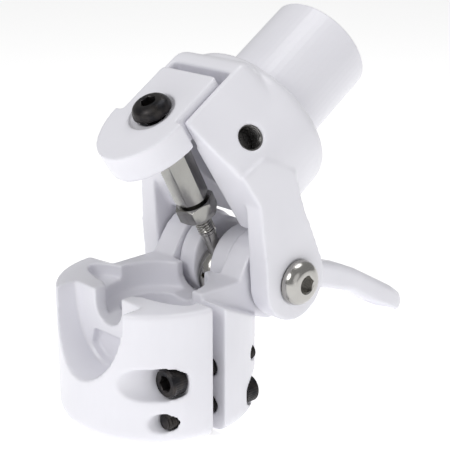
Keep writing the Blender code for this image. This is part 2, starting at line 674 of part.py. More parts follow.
def make_rod_end(axis, mat):
    """Spherical bearing rod end; its shank runs along the link's -Y."""
    half = EYE_HALF_WIDTH
    edge = EYE_RADIUS - EYE_CHAMFER
    profile = [(EYE_BORE_RADIUS, -half), (edge, -half), (EYE_RADIUS, -half + EYE_CHAMFER),
               (EYE_RADIUS, half - EYE_CHAMFER), (edge, half), (EYE_BORE_RADIUS, half)]
    housing = new_object("rod_end_housing", turned(profile, (0, 0, 0), "X", SIDES_MEDIUM), axis,
                         mat)
    core = THREAD_RADIUS - THREAD_SHY
    shank = [(0.0, NECK_START), (NECK_RADIUS, NECK_START), (NECK_RADIUS, NECK_END),
             (THREAD_RADIUS, NECK_END + 2 * MM), (THREAD_RADIUS, NUT_START - 4 * MM),
             (core, NUT_START - 3 * MM), (core, SHANK_END), (0.0, SHANK_END)]
    join(housing, turned([(radius, -y) for radius, y in shank], (0, 0, 0), "Y", SIDES_SMALL),
         "rod_shank")


def make_liner(axis, mat):
    """Bearing race between the ball and the rod end's eye."""
    outer = EYE_BORE_RADIUS - FIT_GAP
    waist = BALL_RADIUS + FIT_GAP
    lip = waist - LINER_CURVE
    shoulder = waist - LINER_CURVE / 10
    profile = [(lip, -LINER_HALF), (outer, -LINER_HALF), (outer, LINER_HALF), (lip, LINER_HALF),
               (shoulder, LINER_HALF / 2), (waist, 0.0), (shoulder, -LINER_HALF / 2)]
    new_object("rod_end_liner", turned(profile, (0, 0, 0), "X", SIDES_MEDIUM), axis, mat)


def make_ball(axis, mat):
    half = EYE_HALF_WIDTH + 0.1 * MM
    inner = CRANK_PIN_RADIUS + FIT_GAP
    outer = []
    for step in range(BALL_STEPS + 1):
        x = half * (2 * step / BALL_STEPS - 1)
        outer.append((math.sqrt(BALL_RADIUS ** 2 - x ** 2), x))
    new_object("rod_end_ball", turned([(inner, -half)] + outer + [(inner, half)], (0, 0, 0), "X",
                                      SIDES_MEDIUM), axis, mat)


def hex_tube(name, flats, bore, start, length, axis, mat):
    """Hexagonal threaded sleeve along the link's -Y, with both ends' corners chamfered."""
    end = start + length
    body = new_object(name, prism(hex_outline(flats), -end, -start, "Y"), axis, mat)
    small = flats / math.sqrt(3.0) - HEX_CHAMFER
    large = small + 2 * HEX_CHAMFER
    cone = [(0.0, -end - 1 * MM), (small, -end - 1 * MM), (large, -end + HEX_CHAMFER),
            (large, -start - HEX_CHAMFER), (small, -start + 1 * MM), (0.0, -start + 1 * MM)]
    combine(body, new_object("shape_" + name, turned(cone, (0, 0, 0), "Y", SIDES_MEDIUM), axis),
            "INTERSECT")
    cut(body, rod(bore, -end - OVERCUT, -start + OVERCUT, (0, 0, 0), "Y", SIDES_SMALL),
        name + "_bore")


def claw_outline():
    """T shape seen from the front: tongue above, half-ellipse lobe below."""
    top = TONGUE_TOP - TONGUE_CORNER
    side = TONGUE_HALF_WIDTH - TONGUE_CORNER
    points = arc((side, top), TONGUE_CORNER, 0.0, math.pi / 2, 4)
    points += arc((-side, top), TONGUE_CORNER, math.pi / 2, math.pi, 4)
    points += [(-TONGUE_HALF_WIDTH, SHOULDER)]
    points += arc((0.0, SHOULDER), LOBE_HALF_WIDTH, math.pi, 2 * math.pi, 26,
                  (LOBE_DEPTH + SHOULDER) / LOBE_HALF_WIDTH)
    points += [(TONGUE_HALF_WIDTH, SHOULDER)]
    return [(z, x) for x, z in points]


def make_claw(axis, mat):
    half = CLAW_THICKNESS / 2
    claw = new_object("latch_claw", prism(claw_outline(), -half, half, "Y"), axis, mat)
    cut(claw, rod(CLAW_HOLE_RADIUS, -half - OVERCUT, half + OVERCUT, (0, 0, 0), "Y"), "claw_hole")
    cut(claw, rod(SEAT_RADIUS, -half - OVERCUT, -half + SEAT_DEPTH, (0, 0, 0), "Y"), "claw_seat")


def make_latch_screw(axis, mat):
    """Button screw through the claw into the coupling, drawn about the rock centre."""
    seat = CLAW_THICKNESS / 2 - SEAT_DEPTH + ROCK_ROOM
    end = SHANK_END + 1.3 * MM - LINK_LENGTH
    core = COUPLING_BORE - 0.6 * MM
    shank = [(0.0, end), (core, end), (core, seat)]
    profile = button_bolt(LATCH_HEAD_RADIUS, LATCH_HEAD_HEIGHT, shank, LATCH_SOCKET_FLATS, seat)
    new_object("latch_screw", turned([(radius, -y) for radius, y in profile], (0, 0, 0), "Y",
                                     SIDES_MEDIUM), axis, mat)


def main():
    clear_scene()
    paint = material("powder_coat", PAINT, 0.35, 0.0)
    steel = material("stainless", STEEL, 0.25, 1.0)
    black = material("black_oxide", BLACK_OXIDE, 0.4, 0.6)
    bronze = material("bronze", BRONZE, 0.4, 1.0)
    polymer = material("bearing_polymer", POLYMER, 0.5, 0.0)

    hinge = Vector((0.0, HINGE_Y, HINGE_Z))
    head_axis = empty("head_axis", hinge, -FOLD_ANGLE)
    lever_axis = empty("lever_axis", hinge, LEVER_ANGLE)
    turn = CRANK_ANGLE - LEVER_ANGLE
    crank = (CRANK_OFFSET * math.cos(turn), CRANK_OFFSET * math.sin(turn))
    crank_point = hinge + Vector((0.0, CRANK_OFFSET * math.cos(CRANK_ANGLE),
                                  CRANK_OFFSET * math.sin(CRANK_ANGLE)))
    link_angle = -FOLD_ANGLE - LINK_TILT
    link_axis = empty("link_axis", crank_point, link_angle)
    pin_axis = empty("pin_axis", crank_point, LEVER_ANGLE)
    along = Vector((0.0, -math.cos(link_angle), -math.sin(link_angle)))
    rock_point = crank_point + along * LINK_LENGTH
    claw_axis = empty("claw_axis", rock_point, -FOLD_ANGLE)
    screw_axis = empty("screw_axis", rock_point, link_angle)

    make_base(paint)
    make_pivot_bolts(steel)
    make_clamp_screws(black)
    make_head(head_axis, paint)
    make_stem_tube(head_axis, paint)
    make_pivot_bushes(head_axis, polymer)
    make_lever(lever_axis, crank, paint)
    make_crank_pin(pin_axis, steel)
    make_ball(pin_axis, steel)
    make_rod_end(link_axis, steel)
    make_liner(link_axis, bronze)
    hex_tube("lock_nut", NUT_FLATS, THREAD_RADIUS, NUT_START, NUT_HEIGHT, link_axis, steel)
    coupling_length = LINK_LENGTH - CLAW_THICKNESS / 2 - COUPLING_GAP - COUPLING_START
    hex_tube("hex_coupling", COUPLING_FLATS, COUPLING_BORE, COUPLING_START, coupling_length,
             link_axis, steel)
    make_claw(claw_axis, paint)
    make_latch_screw(screw_axis, black)


main()
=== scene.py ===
"""Looks for the folding post joint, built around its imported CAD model."""
import json
import math

import bmesh
import bpy
from mathutils import Matrix, Vector


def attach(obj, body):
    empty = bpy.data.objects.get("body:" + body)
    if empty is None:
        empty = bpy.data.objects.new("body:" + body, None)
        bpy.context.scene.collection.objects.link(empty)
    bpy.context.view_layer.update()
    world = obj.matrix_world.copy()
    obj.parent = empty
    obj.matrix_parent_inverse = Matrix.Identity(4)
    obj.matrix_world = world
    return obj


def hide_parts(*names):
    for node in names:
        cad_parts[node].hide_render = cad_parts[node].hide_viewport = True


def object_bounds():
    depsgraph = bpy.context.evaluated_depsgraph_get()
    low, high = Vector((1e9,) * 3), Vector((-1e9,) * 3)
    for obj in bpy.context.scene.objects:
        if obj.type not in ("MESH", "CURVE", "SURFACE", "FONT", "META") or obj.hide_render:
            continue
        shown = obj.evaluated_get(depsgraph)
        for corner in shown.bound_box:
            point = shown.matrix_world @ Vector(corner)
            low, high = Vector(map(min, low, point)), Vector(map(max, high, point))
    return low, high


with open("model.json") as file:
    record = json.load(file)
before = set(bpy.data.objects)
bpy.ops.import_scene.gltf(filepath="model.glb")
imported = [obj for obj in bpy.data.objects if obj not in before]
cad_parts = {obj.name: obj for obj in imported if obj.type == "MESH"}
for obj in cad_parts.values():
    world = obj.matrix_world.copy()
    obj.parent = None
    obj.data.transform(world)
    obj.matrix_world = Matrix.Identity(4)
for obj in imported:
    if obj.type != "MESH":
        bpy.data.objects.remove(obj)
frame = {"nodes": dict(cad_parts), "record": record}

MM = 0.001
CAD_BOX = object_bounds()
OVERCUT = 1.0 * MM

# Places and directions of the parts at rest
FOLD_ANGLE = math.radians(57.0)
JOINTS = {joint["name"]: joint for joint in frame["record"]["behaviour"]["joints"]}
HINGE = Vector(JOINTS["head_fold"]["pos_m"])
CRANK = Vector(JOINTS["link_swing"]["pos_m"])
ROCK = Vector(JOINTS["claw_rock"]["pos_m"])
LINK_ALONG = (ROCK - CRANK).normalized()
LINK_LENGTH = (ROCK - CRANK).length
HEAD_TURN = Matrix.Rotation(-FOLD_ANGLE, 4, "X")

# Castings: node, body, rounding steps, and whether the remesh follows the head's own axes
CASTINGS = (("base_clamp", "base", 9, False), ("fold_head", "head", 14, True),
            ("cam_lever", "lever", 12, False), ("latch_claw", "claw", 10, True))
CAST_VOXEL = 0.55 * MM
CAST_FACTOR = 0.5
NO_SHARP_EDGES = 180.0

# Hollow under the lever's pad, in the lever's own frame
LEVER_ANGLE = math.radians(-20.8)
SCOOP_SIZE = (7.0 * MM, 13.0 * MM, 4.2 * MM)
SCOOP_PLACE = (2.2 * MM, 94.0 * MM, -10.4 * MM)
SCOOP_TILT = math.radians(-10.0)
SCOOP_SEGMENTS = 48

# Button heads: shares of the head's radius and height, and the socket's chamfered mouth
DOME_STEPS = 12
DOME_SHARE = 0.50
RIM_SHARE = 0.14
RIM_CHAMFER = 0.15 * MM
SOCKET_FLOOR_SHARE = 0.36
MOUTH_INSET = 0.5 * MM
MOUTH_DEPTH = 0.45 * MM
MOUTH_FLARE = 1.3 * MM
BUTTON_SHARP = 22.0

# Pivot bolts, M10 button heads
PIVOT_SEAT = 33.35 * MM
PIVOT_HEAD_RADIUS = 8.2 * MM
PIVOT_HEAD_HEIGHT = 4.9 * MM
PIVOT_SOCKET = 6.0 * MM
PIVOT_SHANK = 5.0 * MM
PIVOT_NOSE = 4.0 * MM
PIVOT_NOSE_END = 7.6 * MM
PIVOT_NOSE_START = 13.3 * MM
PIVOT_NOSE_CHAMFER = 0.4 * MM
PIVOT_SHOULDER = 0.6 * MM
PIVOT_SPIN = math.radians(12.0)

# Latch screw, M8 button head
LATCH_HEAD_RADIUS = 7.0 * MM
LATCH_HEAD_HEIGHT = 4.35 * MM
LATCH_SOCKET = 5.0 * MM
LATCH_SEAT = 5.1 * MM
LATCH_SHANK = 3.4 * MM
LATCH_END = -20.0 * MM
LATCH_SPIN = math.radians(18.0)

# Clamp screws, M6 socket caps: node, side their head is on, and height
SCREWS = (("clamp_screw_upper", -1, 23.0 * MM), ("clamp_screw_lower", 1, 9.0 * MM))
SCREW_X = 27.0 * MM
SCREW_RADIUS = 3.0 * MM
SCREW_HEAD_RADIUS = 5.0 * MM
SCREW_HEAD_HEIGHT = 6.0 * MM
SCREW_HEAD_TOP = 20.0 * MM
SCREW_LENGTH = 20.5 * MM
SCREW_SOCKET = 5.0 * MM
SCREW_SOCKET_DEPTH = 3.2 * MM
SCREW_MOUTH = 0.4 * MM
SCREW_MOUTH_FLARE = 1.1 * MM
SCREW_PITCH = 1.0 * MM
SCREW_RUNOUT = 0.7 * MM
SCREW_INSET = 0.4 * MM
SCREW_SPIN = math.radians(9.0)
SCREW_SHARP = 24.0

# Knurl of a socket cap: inset, distance from the foot or from the top, and share of the bite
KNURL_FOOT = ((0.35 * MM, 0.0, 0.0), (0.0, 0.3 * MM, 0.0), (0.0, 0.8 * MM, 1.0))
KNURL_TOP = ((0.0, 1.0 * MM, 1.0), (0.0, 0.6 * MM, 0.0), (0.5 * MM, 0.0, 0.0))
KNURL_BITE = 0.13 * MM
KNURL_TEETH = 36
KNURL_SIDES = 180

# Threads
THREAD_SIDES = 40
THREAD_ROWS = 10
THREAD_DEPTH = 0.5 * MM
GROOVE_SPREAD = 0.38
RUNOUT_TURNS = 0.8

# Tapped hole in the collar
TAPPED_RADIUS = 4.6 * MM
TAPPED_HEIGHT = 16.0 * MM
TAPPED_ANGLE = math.radians(33.0)
TAPPED_FLOOR = 21.6 * MM
TAPPED_MOUTH = 29.9 * MM
TAPPED_PITCH = 1.25 * MM
TAPPED_CREST = TAPPED_RADIUS - 0.55 * MM
TAPPED_OUTER = TAPPED_RADIUS - 0.02 * MM
TAPPED_CUT = 0.4 * MM
TAPPED_BACK = TAPPED_FLOOR - 0.4 * MM
TAPPED_CENTRE = 0.1 * MM
TAPPED_ROWS = 64
TAPPED_SHARP = 25.0

# Rod end: crowned eye, oil hole, neck and thread, with distances along the link from the crank
EYE_RADIUS = 12.0 * MM
EYE_BORE = 8.1 * MM
EYE_HALF = 3.55 * MM
EYE_CHAMFER = 1.1 * MM
EYE_CROWN = 0.9 * MM
EYE_CROWN_SHARE = 0.93
EYE_CROWN_STEPS = 8
OIL_HOLE = 0.9 * MM
OIL_HOLE_ANGLE = math.radians(7)
OIL_SINK_DEPTH = 0.35 * MM
NECK_RADIUS = 2.7 * MM
NECK_ROOT = ((3.1 * MM, 9.4 * MM), (3.0 * MM, 11.5 * MM), (NECK_RADIUS, 13.0 * MM))
ROD_RADIUS = 3.18 * MM
ROD_PITCH = 1.1 * MM
ROD_SHARP = 28.0
THREAD_START = 21.0 * MM
THREAD_END = 48.0 * MM
THREAD_LEAD = (1.2 * MM, 0.6 * MM, 0.4 * MM)

# Lock nut and coupling
NUT_START = 28.5 * MM
NUT_HEIGHT = 6.5 * MM
NUT_FLATS = 13.0 * MM
NUT_BORE = ROD_RADIUS + 0.04 * MM
NUT_SPIN = math.radians(8.0)
COUPLING_BORE = 4.0 * MM
COUPLING_START = 36.0 * MM
COUPLING_END = LINK_LENGTH - 6.8 * MM
COUPLING_FLATS = 11.0 * MM
HEX_EDGE = 0.22 * MM
HEX_EDGE_SEGMENTS = 2
HEX_EDGE_LIMIT = math.radians(25.0)
HEX_FACE_SHARE = 0.48
HEX_CHAMFER = 1.02 * MM
HEX_CORNER_ROOM = 0.3 * MM
HEX_SHARP = 40.0
BORE_SINK = 0.9 * MM
BORE_SINK_ROOM = 0.3 * MM

# Roundness of turned shapes
SIDES_FULL = 96
SIDES_BORE = 48
SIDES_HOLE = 32

# Colours
PAINT_PLAIN = (0.80, 0.795, 0.85)
PAINT_TONES = ((0.79, 0.785, 0.835), (0.83, 0.825, 0.875))
# The four steel tones below are darker than bare steel. They are part steel colour and part a painted
# dark reflection of surroundings that the set does not have.
BOLT_STEEL_AND_DARK_REFLECTION = (0.45, 0.44, 0.42)
ROD_STEEL_AND_DARK_REFLECTION = (0.42, 0.41, 0.39)
HEX_STEEL_AND_DARK_REFLECTION = (0.33, 0.325, 0.31)
CUT_STEEL_AND_DARK_REFLECTION = (0.22, 0.215, 0.21)
STEEL_SMUDGE = 0.93
OXIDE_PLAIN = (0.02, 0.02, 0.022)
OXIDE_TONES = ((0.014, 0.014, 0.017), (0.045, 0.04, 0.038))
BRONZE_TONES = ((0.45, 0.33, 0.16), (0.36, 0.25, 0.11))
POLYMER_TONES = ((0.10, 0.10, 0.11), (0.14, 0.14, 0.15))
WHITE = (1.0, 1.0, 1.0, 1.0)

# The set
FLOOR_TONE = (0.94, 0.94, 0.94)
FLOOR_HALF = 6.0
FLOOR_DROP = 0.2 * MM
FLOOR_GLOW = 0.53
WORLD_STRENGTH = 0.37
LIGHT_TARGET = Vector((0.0, 0.02, 0.06))
LIGHTS = (  # name, place, diameter and power
    ("key", (0.02, -0.60, 0.50), 0.40, 1.8),
    ("fill", (0.60, -0.10, 0.22), 0.45, 0.30),
    ("top", (0.05, 0.2, 0.75), 0.45, 1.5))
CAMERA_PLACE = (0.3110, -0.2663, 0.2013)
CAMERA_LOOK = Vector((-0.684, 0.660, -0.311))
CAMERA_LENS = 99.6
CAMERA_SENSOR = 36.0
CAMERA_CLIP = 0.01


# ---------------------------------------------------------------- mesh helpers

def add_object(name, bm, matrix=Matrix.Identity(4)):
    """A new object whose mesh is already in place in the model's frame."""
    bmesh.ops.recalc_face_normals(bm, faces=bm.faces)
    mesh = bpy.data.meshes.new(name)
    bm.to_mesh(mesh)
    bm.free()
    mesh.transform(matrix)
    obj = bpy.data.objects.new(name, mesh)
    bpy.context.scene.collection.objects.link(obj)
    return obj


def frame_at(origin, direction, spin=0.0):
    """Matrix that puts local +Z along a direction."""
    turn = Vector(direction).to_track_quat("Z", "Y").to_matrix().to_4x4()
    return Matrix.Translation(origin) @ turn @ Matrix.Rotation(spin, 4, "Z")


def rings_mesh(rings, closed_loop=False):
    """Skin a list of vertex rings; the ends are capped unless the last joins the first."""
    bm = bmesh.new()
    layers = [[bm.verts.new(point) for point in ring] for ring in rings]
    pairs = list(zip(layers, layers[1:]))
    if closed_loop:
        pairs.append((layers[-1], layers[0]))
    for lower, upper in pairs:
        count = len(lower)
        for step in range(count):
            nxt = (step + 1) % count
            bm.faces.new((lower[step], lower[nxt], upper[nxt], upper[step]))
    if not closed_loop:
        bm.faces.new(layers[0])
        bm.faces.new(layers[-1])
    return bm


def ring_of(reaches, height):
    """A ring about local Z whose points each have their own reach."""
    step = 2 * math.pi / len(reaches)
    return [Vector((reach * math.cos(k * step), reach * math.sin(k * step), height))
            for k, reach in enumerate(reaches)]


def circle(radius, height, sides):
    return ring_of([radius] * sides, height)


def lathe(profile, sides=SIDES_FULL, closed_loop=False):
    """Turn a (radius, height) profile about local Z."""
    return rings_mesh([circle(radius, height, sides) for radius, height in profile], closed_loop)


def corner_reach(flats):
    """Centre to corner of a hexagon, from its width across flats."""
    return flats / math.sqrt(3.0)


def hex_prism(flats, low, high):
    reach = corner_reach(flats)
    return rings_mesh([circle(reach, low, 6), circle(reach, high, 6)])


def grooves(height, pitch):
    """Depth of a helical groove round one ring, from 0 on the crest to 1 at the root."""
    phases = [(height / pitch - k / THREAD_SIDES) % 1.0 for k in range(THREAD_SIDES)]
    return [max(0.0, 1.0 - abs(phase - 0.5) / GROOVE_SPREAD) for phase in phases]


def threaded(radius, pitch, start, end, runout=0.0):
    """Solid bar with a helical thread along local Z; runout narrows its far end."""
    rows = int(THREAD_ROWS * (end - start) / pitch)
    rings = []
    for row in range(rows + 1):
        height = start + (end - start) * row / rows
        taper = runout * (1.0 - min(1.0, (end - height) / (RUNOUT_TURNS * pitch)))
        reaches = [radius - THREAD_DEPTH * groove - taper for groove in grooves(height, pitch)]
        rings.append(ring_of(reaches, height))
    return rings_mesh(rings)


def bake(obj):
    """Replace an object's mesh by what its modifiers make of it."""
    graph = bpy.context.evaluated_depsgraph_get()
    mesh = bpy.data.meshes.new_from_object(obj.evaluated_get(graph))
    obj.modifiers.clear()
    obj.data = mesh


def boolean(obj, bm, operation, matrix=Matrix.Identity(4)):
    """Apply one exact Boolean with a temporary tool."""
    tool = add_object("tool", bm, matrix)
    mod = obj.modifiers.new("shape", "BOOLEAN")
    mod.operation = operation
    mod.solver = "EXACT"
    mod.object = tool
    bake(obj)
    bpy.data.objects.remove(tool, do_unlink=True)


def soften_hex(obj):
    """Small rounded edges, as machining and plating leave them."""
    mod = obj.modifiers.new("edges", "BEVEL")
    mod.width = HEX_EDGE
    mod.segments = HEX_EDGE_SEGMENTS
    mod.limit_method = "ANGLE"
    mod.angle_limit = HEX_EDGE_LIMIT
    mod.use_clamp_overlap = True
    bake(obj)


def finish_piece(obj, nodes, body, mat, sharp_angle):
    """Shade, colour and hand a piece over to the frame."""
    obj.data.shade_smooth()
    obj.data.set_sharp_from_angle(angle=math.radians(sharp_angle))
    obj.data.materials.clear()
    obj.data.materials.append(mat)
    if nodes:
        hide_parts(*nodes)
    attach(obj, body)


# ---------------------------------------------------------------- materials

class Paint:
    """A Principled material wired from noise; its plain values are those without the noise."""

    def __init__(self, name, colour, metallic, roughness):
        self.mat = bpy.data.materials.new(name)
        self.mat.use_nodes = True
        self.tree = self.mat.node_tree
        self.shader = self.tree.nodes["Principled BSDF"]
        self.shader.inputs["Base Color"].default_value = (*colour, 1.0)
        self.shader.inputs["Metallic"].default_value = metallic
        self.shader.inputs["Roughness"].default_value = roughness
        self.coords = self.tree.nodes.new("ShaderNodeTexCoord").outputs["Object"]

    def stretched(self, scale):
        mapping = self.tree.nodes.new("ShaderNodeMapping")
        mapping.inputs["Scale"].default_value = scale
        self.tree.links.new(self.coords, mapping.inputs["Vector"])
        return mapping.outputs["Vector"]

    def noise(self, scale, detail=2.0, roughness=0.5, vector=None):
        node = self.tree.nodes.new("ShaderNodeTexNoise")
        node.inputs["Scale"].default_value = scale
        node.inputs["Detail"].default_value = detail
        node.inputs["Roughness"].default_value = roughness
        self.tree.links.new(vector or self.coords, node.inputs["Vector"])
        return node.outputs["Fac"]

    def ranged(self, value, low=0.0, high=1.0, start=0.35, end=0.65):
        node = self.tree.nodes.new("ShaderNodeMapRange")
        node.inputs["From Min"].default_value = start
        node.inputs["From Max"].default_value = end
        node.inputs["To Min"].default_value = low
        node.inputs["To Max"].default_value = high
        self.tree.links.new(value, node.inputs["Value"])
        return node.outputs["Result"]

    def mix_colour(self, factor, first, second):
        node = self.tree.nodes.new("ShaderNodeMix")
        node.data_type = "RGBA"
        node.inputs[6].default_value = (*first, 1.0)
        node.inputs[7].default_value = (*second, 1.0)
        self.tree.links.new(factor, node.inputs[0])
        self.tree.links.new(node.outputs[2], self.shader.inputs["Base Color"])

    def roughness(self, value):
        self.tree.links.new(value, self.shader.inputs["Roughness"])

    def bump(self, value, strength, distance):
        node = self.tree.nodes.new("ShaderNodeBump")
        node.inputs["Strength"].default_value = strength
        node.inputs["Distance"].default_value = distance
        self.tree.links.new(value, node.inputs["Height"])
        self.tree.links.new(node.outputs["Normal"], self.shader.inputs["Normal"])


def powder_coat(name, stretch=None):
    """Satin powder coat: fine orange peel, faint clouding and a thin clear top."""
    paint = Paint(name, PAINT_PLAIN, metallic=0.0, roughness=0.33)
    vector = paint.stretched(stretch) if stretch else None
    clouds = paint.ranged(paint.noise(45.0, vector=vector), start=0.25, end=0.75)
    paint.mix_colour(clouds, *PAINT_TONES)
    sheen = paint.noise(160.0, vector=vector)
    paint.roughness(paint.ranged(sheen, low=0.28, high=0.38, start=0.2, end=0.8))
    paint.bump(paint.noise(700.0, vector=vector), strength=0.05, distance=0.08 * MM)
    paint.shader.inputs["Coat Weight"].default_value = 0.22
    paint.shader.inputs["Coat Roughness"].default_value = 0.16
    return paint.mat


def stainless(name, stretch, base, rough):
    """Machined stainless steel with fine turning marks along one direction, on a base tone darkened
    as a painted reflection.
    """
    steel = Paint(name, base, metallic=1.0, roughness=0.2)
    marks = steel.noise(900.0, detail=3.0, roughness=0.6, vector=steel.stretched(stretch))
    steel.roughness(steel.ranged(marks, low=rough[0], high=rough[1]))
    darker = tuple(STEEL_SMUDGE * channel for channel in base)
    steel.mix_colour(steel.ranged(steel.noise(120.0)), darker, base)
    steel.bump(marks, strength=0.05, distance=0.02 * MM)
    return steel.mat


def black_oxide(name):
    """Oiled black oxide, a little brown where it is thin."""
    black = Paint(name, OXIDE_PLAIN, metallic=0.75, roughness=0.38)
    black.mix_colour(black.ranged(black.noise(260.0, detail=4.0)), *OXIDE_TONES)
    black.roughness(black.ranged(black.noise(500.0, detail=3.0), low=0.26, high=0.50))
    black.bump(black.noise(1500.0), strength=0.12, distance=0.05 * MM)
    return black.mat


def plain_grain(name, tones, metallic, rough):
    """Bearing materials: two close tones with a fine grain."""
    grain = Paint(name, tones[0], metallic, rough[0])
    grain.mix_colour(grain.ranged(grain.noise(420.0, detail=4.0)), *tones)
    grain.roughness(grain.ranged(grain.noise(700.0), low=rough[0], high=rough[1]))
    grain.bump(grain.noise(1400.0), strength=0.10, distance=0.05 * MM)
    return grain.mat


MATERIALS = {
    "paint": powder_coat("powder_coat_cast"),
    "tube_paint": powder_coat("powder_coat_tube", stretch=(1.0, 0.22, 0.22)),
    "bolt": stainless("stainless_bolt", (0.25, 1.0, 1.0), BOLT_STEEL_AND_DARK_REFLECTION, rough=(0.17, 0.25)),
    "rod": stainless("stainless_rod", (1.0, 0.3, 1.0), ROD_STEEL_AND_DARK_REFLECTION, rough=(0.12, 0.22)),
    "hex": stainless("stainless_hex", (1.0, 1.0, 0.25), HEX_STEEL_AND_DARK_REFLECTION, rough=(0.16, 0.27)),
    "cut": stainless("stainless_cut_thread", (1.0, 1.0, 1.0), CUT_STEEL_AND_DARK_REFLECTION, rough=(0.22, 0.35)),
    "black": black_oxide("black_oxide_screw"),
    "bronze": plain_grain("bronze_liner", BRONZE_TONES, metallic=1.0, rough=(0.30, 0.48)),
    "polymer": plain_grain("bearing_polymer", POLYMER_TONES, metallic=0.0, rough=(0.42, 0.60)),
}


# ---------------------------------------------------------------- castings

def cut_thumb_scoop(lever):
    """Hollow under the lever's pad, where a thumb lifts it."""
    bm = bmesh.new()
    bmesh.ops.create_uvsphere(bm, u_segments=SCOOP_SEGMENTS, v_segments=SCOOP_SEGMENTS // 2,
                              radius=1.0)
    tilt = Matrix.Rotation(SCOOP_TILT, 3, "X")
    bmesh.ops.scale(bm, vec=SCOOP_SIZE, verts=bm.verts)
    bmesh.ops.rotate(bm, cent=(0, 0, 0), matrix=tilt, verts=bm.verts)
    bmesh.ops.translate(bm, vec=SCOOP_PLACE, verts=bm.verts)
    place = Matrix.Translation(HINGE) @ Matrix.Rotation(LEVER_ANGLE, 4, "X")
    boolean(lever, bm, "DIFFERENCE", place)


def cast_piece(node, body, steps, turn):
    """A casting: the CAD solid with every edge softened the way a mould and paint leave it."""
    mesh = frame["nodes"][node].data.copy()
    mesh.transform(turn.inverted())
    obj = bpy.data.objects.new(node + "_casting", mesh)
    bpy.context.scene.collection.objects.link(obj)
    if node == "cam_lever":
        cut_thumb_scoop(obj)
    remesh = obj.modifiers.new("skin", "REMESH")
    remesh.mode = "VOXEL"
    remesh.voxel_size = CAST_VOXEL
    rounding = obj.modifiers.new("rounding", "SMOOTH")
    rounding.factor = CAST_FACTOR
    rounding.iterations = steps
    bake(obj)
    obj.data.transform(turn)
    finish_piece(obj, [node], body, MATERIALS["paint"], NO_SHARP_EDGES)


# ---------------------------------------------------------------- bolts and screws

def button_head(name, radius, height, flats, shank):
    """Button-head screw along local Z, with its seat at zero and a true hexagon socket."""
    profile = list(shank) + [(radius - RIM_CHAMFER, 0.0), (radius, RIM_CHAMFER)]
    for step in range(DOME_STEPS + 1):
        turn = math.pi / 2 * step / DOME_STEPS
        profile.append((radius * (1.0 - DOME_SHARE + DOME_SHARE * math.cos(turn)),
                        height * (RIM_SHARE + (1.0 - RIM_SHARE) * math.sin(turn))))
    obj = add_object(name, lathe(profile))
    mouth = corner_reach(flats)
    boolean(obj, hex_prism(flats, SOCKET_FLOOR_SHARE * height, height + OVERCUT), "DIFFERENCE")
    boolean(obj, lathe([(mouth - MOUTH_INSET, height - MOUTH_DEPTH),
                        (mouth + MOUTH_FLARE, height + OVERCUT)]), "DIFFERENCE")
    return obj


def pivot_bolt(node, side):
    nose_end = PIVOT_NOSE_END - PIVOT_SEAT
    nose_start = PIVOT_NOSE_START - PIVOT_SEAT
    shank = [(PIVOT_NOSE - PIVOT_NOSE_CHAMFER, nose_end), (PIVOT_NOSE, nose_end + PIVOT_NOSE_CHAMFER),
             (PIVOT_NOSE, nose_start), (PIVOT_SHANK, nose_start + PIVOT_SHOULDER),
             (PIVOT_SHANK, 0.0)]
    obj = button_head(node + "_detail", PIVOT_HEAD_RADIUS, PIVOT_HEAD_HEIGHT, PIVOT_SOCKET, shank)
    seat = HINGE + Vector((side * PIVOT_SEAT, 0.0, 0.0))
    obj.data.transform(frame_at(seat, (side, 0.0, 0.0), PIVOT_SPIN))
    finish_piece(obj, [node], "base", MATERIALS["bolt"], BUTTON_SHARP)


def latch_screw():
    shank = [(LATCH_SHANK, LATCH_END - LATCH_SEAT), (LATCH_SHANK, 0.0)]
    obj = button_head("latch_screw_detail", LATCH_HEAD_RADIUS, LATCH_HEAD_HEIGHT, LATCH_SOCKET,
                      shank)
    obj.data.transform(frame_at(ROCK + LINK_ALONG * LATCH_SEAT, LINK_ALONG, LATCH_SPIN))
    finish_piece(obj, ["latch_screw"], "link", MATERIALS["black"], BUTTON_SHARP)


def knurled_head(radius, low, high):
    """Socket-cap head with a fine straight knurl and a chamfered top."""
    rows = [(radius - inset, low + rise, share) for inset, rise, share in KNURL_FOOT]
    rows += [(radius - inset, high - drop, share) for inset, drop, share in KNURL_TOP]
    teeth = [0.5 - 0.5 * math.cos(2 * math.pi * k / KNURL_SIDES * KNURL_TEETH)
             for k in range(KNURL_SIDES)]
    return rings_mesh([ring_of([reach - KNURL_BITE * share * tooth for tooth in teeth], height)
                       for reach, height, share in rows])


def clamp_screw(node, side, height):
    top = SCREW_HEAD_TOP
    under = top - SCREW_HEAD_HEIGHT
    obj = add_object(node + "_detail", knurled_head(SCREW_HEAD_RADIUS, under, top))
    boolean(obj, hex_prism(SCREW_SOCKET, top - SCREW_SOCKET_DEPTH, top + OVERCUT), "DIFFERENCE")
    mouth = corner_reach(SCREW_SOCKET)
    boolean(obj, lathe([(mouth - SCREW_MOUTH, top - SCREW_MOUTH),
                        (mouth + SCREW_MOUTH_FLARE, top + OVERCUT)]), "DIFFERENCE")
    shank = threaded(SCREW_RADIUS, SCREW_PITCH, -under - SCREW_INSET, SCREW_LENGTH, SCREW_RUNOUT)
    boolean(obj, shank, "UNION", Matrix.Rotation(math.pi, 4, "X"))
    obj.data.transform(frame_at((SCREW_X, 0.0, height), (0.0, side, 0.0), SCREW_SPIN))
    finish_piece(obj, [node], "base", MATERIALS["black"], SCREW_SHARP)


# ---------------------------------------------------------------- the tension rod

def eye_profile():
    """Section of the rod end's eye, crowned a little across its width."""
    profile = [(EYE_BORE, -EYE_HALF), (EYE_RADIUS - EYE_CHAMFER, -EYE_HALF)]
    for step in range(EYE_CROWN_STEPS + 1):
        part = 2.0 * step / EYE_CROWN_STEPS - 1.0
        profile.append((EYE_RADIUS - EYE_CROWN * part * part, EYE_CROWN_SHARE * EYE_HALF * part))
    return profile + [(EYE_RADIUS - EYE_CHAMFER, EYE_HALF), (EYE_BORE, EYE_HALF)]


